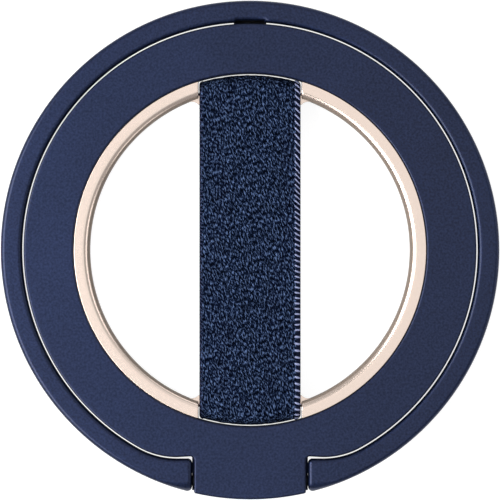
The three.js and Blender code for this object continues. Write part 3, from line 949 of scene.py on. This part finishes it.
@dataclass
class StandRing:
    """The fold-out ring with its two knuckles, and the pins and sleeves of the hinge."""

    end: float = 7.45
    gap: float = 0.34  # from the back cover's edge
    corner: float = 0.6  # corners of the ring's ends, seen from above
    edge: float = 0.22  # rounding of the lower outer edge
    top_edge: float = 0.56  # rounding of the upper edges
    swing_chamfer: float = 0.5
    thumb_half: float = 1.95
    thumb_flat: float = 29.47
    pin_bore: float = 0.75
    bore_depth: float = 1.7

    def ring(self) -> BMesh:
        """Builds the flat ring, open at the lug, with a flat for a fingernail opposite."""
        inner = PLAN.body_radius + self.gap
        flat = -PLAN.body_flat - self.gap
        corner = self.end + self.corner
        tip = -math.sqrt((PLAN.outer_radius - self.corner) ** 2 - corner**2)
        tilt = math.degrees(math.atan2(tip, corner))
        reach = math.degrees(math.asin(self.thumb_half / inner))
        pen = Pen(self.end, flat - self.corner).arc(corner, flat - self.corner, -90.0, SMALL_ARC)
        PLAN.draw_edge(pen, self.gap, 90.0 - reach)
        pen.line(self.thumb_half - 0.15, self.thumb_flat).line(0.0, self.thumb_flat).line(0.0, PLAN.outer_radius)
        pen.arc(0.0, 0.0, tilt - 90.0).arc(corner, tip, -180.0 - tilt, SMALL_ARC).line(self.end, flat - self.corner)
        mesh = pen.plate(PLAN.stand_bottom, PLAN.face)
        lower = [edge for edge in rim_edges(mesh, PLAN.stand_bottom) if self.on_inner_edge(edge)]
        rounded(mesh, lower, self.swing_chamfer, 1)
        rounded(mesh, rim_edges(mesh, PLAN.face), self.top_edge, 6)
        rounded(mesh, [edge for edge in rim_edges(mesh, PLAN.stand_bottom) if not self.on_inner_edge(edge)], self.edge)
        return mesh

    def on_inner_edge(self, edge: BMEdge) -> bool:
        """Whether an edge runs along the gap to the body, or along the chamfer there."""
        ends = [vert.co for vert in edge.verts]
        if all(abs(end.x) < self.end + self.corner + WELD for end in ends) and ends[0].y < 0:
            return False
        return all(end.xy.length < PLAN.outer_radius - 1 for end in ends)

    def dark(self, face: BMFace) -> bool:
        """Whether a face is on the wall beside the gap, which gets painted shade."""
        middle = face.calc_center_median()
        return abs(face.normal.z) < WALL and face.normal.xy.dot(middle.xy.normalized()) < 0.2

    def rolled(self, mesh: BMesh) -> None:
        """Rolls the ring's ends off to round knuckles beyond the hinge axis."""
        steps = 14
        for step in range(steps):
            depth = PLAN.knuckle * math.sin(step / steps * math.pi / 2)
            place = (0, PLAN.hinge_y - depth, 0)
            bmesh.ops.bisect_plane(mesh, geom=whole(mesh), plane_co=place, plane_no=(0, 1, 0))
        for vert in mesh.verts:
            beyond = (PLAN.hinge_y - vert.co.y) / PLAN.knuckle
            if beyond > 0:
                scale = math.sqrt(max(0.0, 1 - beyond**2))
                vert.co.z = PLAN.hinge_z + (vert.co.z - PLAN.hinge_z) * scale

    def build(self) -> list[Object]:
        """Builds the ring, bores it for the pins, and dresses the hinge's steel pieces."""
        mesh = self.ring()
        self.rolled(mesh)
        mesh = combined(mesh, bores(self.pin_bore, self.end - 1, self.end + self.bore_depth))
        # The walls beside the gap get painted shade.
        ring = piece(mesh, "fold_out_ring", (NAVY, NAVY_WALL_PAINTED_SHADE), self.dark)
        # The pins and sleeves get a dark steel: painted shade in the slits beside the lug.
        for side in ("left", "right"):
            dress(f"hinge_pin_{side}", HINGE_STEEL_PAINTED_SHADE)
            dress(f"friction_sleeve_{side}", HINGE_STEEL_PAINTED_SHADE)
        return [fitted(ring, Body.STAND, "stand_ring")]


def fitted(shape: Object, body: Body, node: str | None = None) -> Object:
    """Rides a piece on its body and the node that it stands for.

    Args:
        shape: The piece.
        body: The body that it moves with.
        node: The CAD node that it replaces, if any.

    Returns:
        The piece.
    """
    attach(shape, body.value)
    if node:
        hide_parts(node)
    return shape


def dress(node: str, material: Material) -> None:
    """Gives a CAD node that stays in view its finish."""
    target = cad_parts[node]
    if target.material_slots:
        for holder in target.material_slots:
            holder.material = material
    else:
        target.data.materials.append(material)


# Studio


@dataclass(frozen=True)
class Softbox:
    """An area lamp that faces the grip, placed by its direction seen in the picture."""

    name: str
    azimuth: float  # degrees anticlockwise from the picture's right
    tilt: float  # degrees from straight above
    distance: float  # metres
    width: float  # metres, round the grip
    height: float  # metres, from low to high
    radiance: float  # 1 is as bright as a white wall that shows as white

    def build(self) -> None:
        """Adds the lamp, which the camera doesn't see."""
        lamp = bpy.data.lights.new(self.name, "AREA")
        lamp.shape = "RECTANGLE"
        lamp.size, lamp.size_y = self.width, self.height
        lamp.energy = self.radiance * math.pi * self.width * self.height
        holder = bpy.data.objects.new(self.name, lamp)
        turn, tilt = math.radians(self.azimuth), math.radians(self.tilt)
        away = Vector((math.sin(tilt) * math.cos(turn), math.sin(tilt) * math.sin(turn), math.cos(tilt)))
        holder.location = away * self.distance
        holder.rotation_euler = (-away).to_track_quat("-Z", "Y").to_euler()
        holder.visible_camera = False
        bpy.context.scene.collection.objects.link(holder)


@dataclass
class Studio:
    """The camera, the floor, the lamps and the world."""

    frame_width: float = 64.1  # what the picture spans at the grip's face
    distance: float = 650.0
    floor_half: float = 3.0  # metres
    floor_drop: float = 0.05  # floor below the pad, so that the two faces don't fight
    paper: float = 0.8  # how much of the light the floor returns to the grip
    seen_paper: float = 0.3  # and to the camera, where the glow adds the rest
    glow: float = 0.9
    near_world: float = 0.3  # the room on the hinge's side, which is the darker one
    far_world: float = 0.5
    lamps: tuple[Softbox, ...] = (
        Softbox("overhead", 0.0, 0.0, 0.9, 0.7, 0.7, 0.53),
        Softbox("key", 192.0, 45.0, 0.17, 0.2, 0.12, 5.2),
        Softbox("upper_right", 70.0, 38.0, 0.4, 0.34, 0.2, 0.35),
        Softbox("right_rim", 6.0, 62.0, 0.3, 0.26, 0.07, 1.5),
        Softbox("upper_rim", 80.0, 78.0, 0.3, 0.3, 0.08, 0.9),
        Softbox("lower_rim", 315.0, 78.0, 0.3, 0.14, 0.08, 0.9),
    )

    def camera(self) -> None:
        """Puts the camera straight above the grip."""
        data = bpy.data.cameras.new("camera")
        data.lens = data.sensor_width * self.distance / self.frame_width
        data.clip_start, data.clip_end = 0.05, 10.0
        made = bpy.data.objects.new("camera", data)
        made.location = (0.0, 0.0, (PLAN.face + self.distance) * MM)
        bpy.context.scene.collection.objects.link(made)
        bpy.context.scene.camera = made

    def floor(self) -> None:
        """Adds a white floor that shows as white and keeps the grip's shadow, and is clear from below."""
        mesh = bmesh.new()
        place = Matrix.Translation((0.0, 0.0, -self.floor_drop * MM))
        bmesh.ops.create_grid(mesh, x_segments=1, y_segments=1, size=self.floor_half, matrix=place)
        floor = as_object(mesh, "floor")
        made, tree = new_material("white_paper")
        rays = add(tree, "LightPath").outputs
        seen = rays["Is Camera Ray"]
        for ray in ("Is Glossy Ray", "Is Transmission Ray"):
            seen = add(tree, "Math", {0: seen, 1: rays[ray]}, operation="MAXIMUM")
        greys = [(level, level, level, 1.0) for level in (self.paper, self.seen_paper)]
        paper = add(tree, "Mix", {0: seen, 6: greys[0], 7: greys[1]}, data_type="RGBA")
        matte = add(tree, "BsdfDiffuse", {"Color": paper.outputs[2]})
        level = add(tree, "Math", {0: seen, 1: self.glow}, operation="MULTIPLY")
        surface = add(tree, "AddShader", {0: matte, 1: add(tree, "Emission", {"Strength": level})})
        below = add(tree, "NewGeometry").outputs["Backfacing"]
        mix = add(tree, "MixShader", {0: below, 1: surface, 2: add(tree, "BsdfTransparent")})
        add(tree, "OutputMaterial", {"Surface": mix})
        floor.data.materials.append(made)

    def light(self) -> None:
        """Adds the lamps and a pale world, a little darker towards the hinge's side."""
        for lamp in self.lamps:
            lamp.build()
        world = bpy.data.worlds.new("pale_room")
        world.use_nodes = True
        tree = world.node_tree
        tree.nodes.clear()
        way = add(tree, "SeparateXYZ", {0: add(tree, "TexCoord").outputs["Generated"]}).outputs["Y"]
        shade = {"Value": way, "From Min": -1.0, "To Min": self.near_world, "To Max": self.far_world}
        sky = add(tree, "Background", {"Color": linear("#ffffff"), "Strength": add(tree, "MapRange", shade)})
        add(tree, "OutputWorld", {"Surface": sky})
        bpy.context.scene.world = world
        bpy.context.scene.view_settings.view_transform = "Standard"

    def build(self) -> list[Object]:
        """Sets up the studio, which adds no piece."""
        self.camera()
        self.floor()
        self.light()
        return []


def main() -> None:
    """Builds the studio and the sub-assemblies in order and reports each piece."""
    logging.basicConfig(level=logging.INFO, format="%(name)s: %(message)s")
    for assembly in (Studio(), CoverShell(), TrimRing(), FingerStrap(), StandRing()):
        LOG.info("%s", type(assembly).__name__)
        for made in assembly.build():
            LOG.info("  %s: %d faces", made.name, len(made.data.polygons))


if __name__ == "__main__":
    main()
